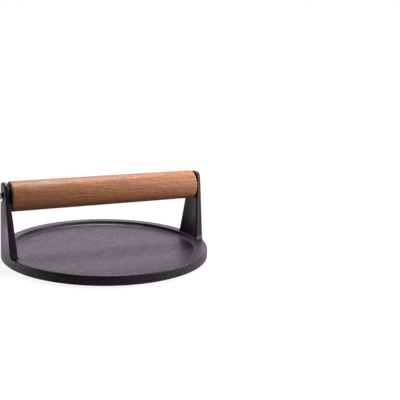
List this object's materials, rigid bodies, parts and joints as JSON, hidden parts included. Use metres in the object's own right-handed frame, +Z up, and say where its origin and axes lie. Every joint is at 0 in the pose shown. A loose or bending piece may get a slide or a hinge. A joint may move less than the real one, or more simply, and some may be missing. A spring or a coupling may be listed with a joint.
{
  "type": "meat press",
  "caption": "Round cast-iron grill press: a ribbed plate with a raised rim, upright ears at its sides and a turned wooden bar handle screwed between them.",
  "frame": {"origin": "middle of the press, on the surface its rib crests rest on", "axes": "+Z up, +X along the wooden handle, the ribs run along Y"},
  "size_m": [0.2254, 0.222, 0.0868],
  "materials": {
    "cast_iron": "fine as-cast grain, matt dark grey, seasoned",
    "handle_wood": "turned close-grained hardwood, reddish brown, oiled to a satin",
    "screw_steel": "bright nickel-plated steel",
    "washer_steel": "plain plated spring steel",
    "insert_steel": "zinc-plated steel"
  },
  "bodies": {
    "root": {"press_casting": "cast_iron", "wooden_handle": "handle_wood", "handle_screw_left": "screw_steel", "handle_screw_right": "screw_steel", "spring_washer_left": "washer_steel", "spring_washer_right": "washer_steel", "thread_insert_left": "insert_steel", "thread_insert_right": "insert_steel"}
  },
  "joints": []
}
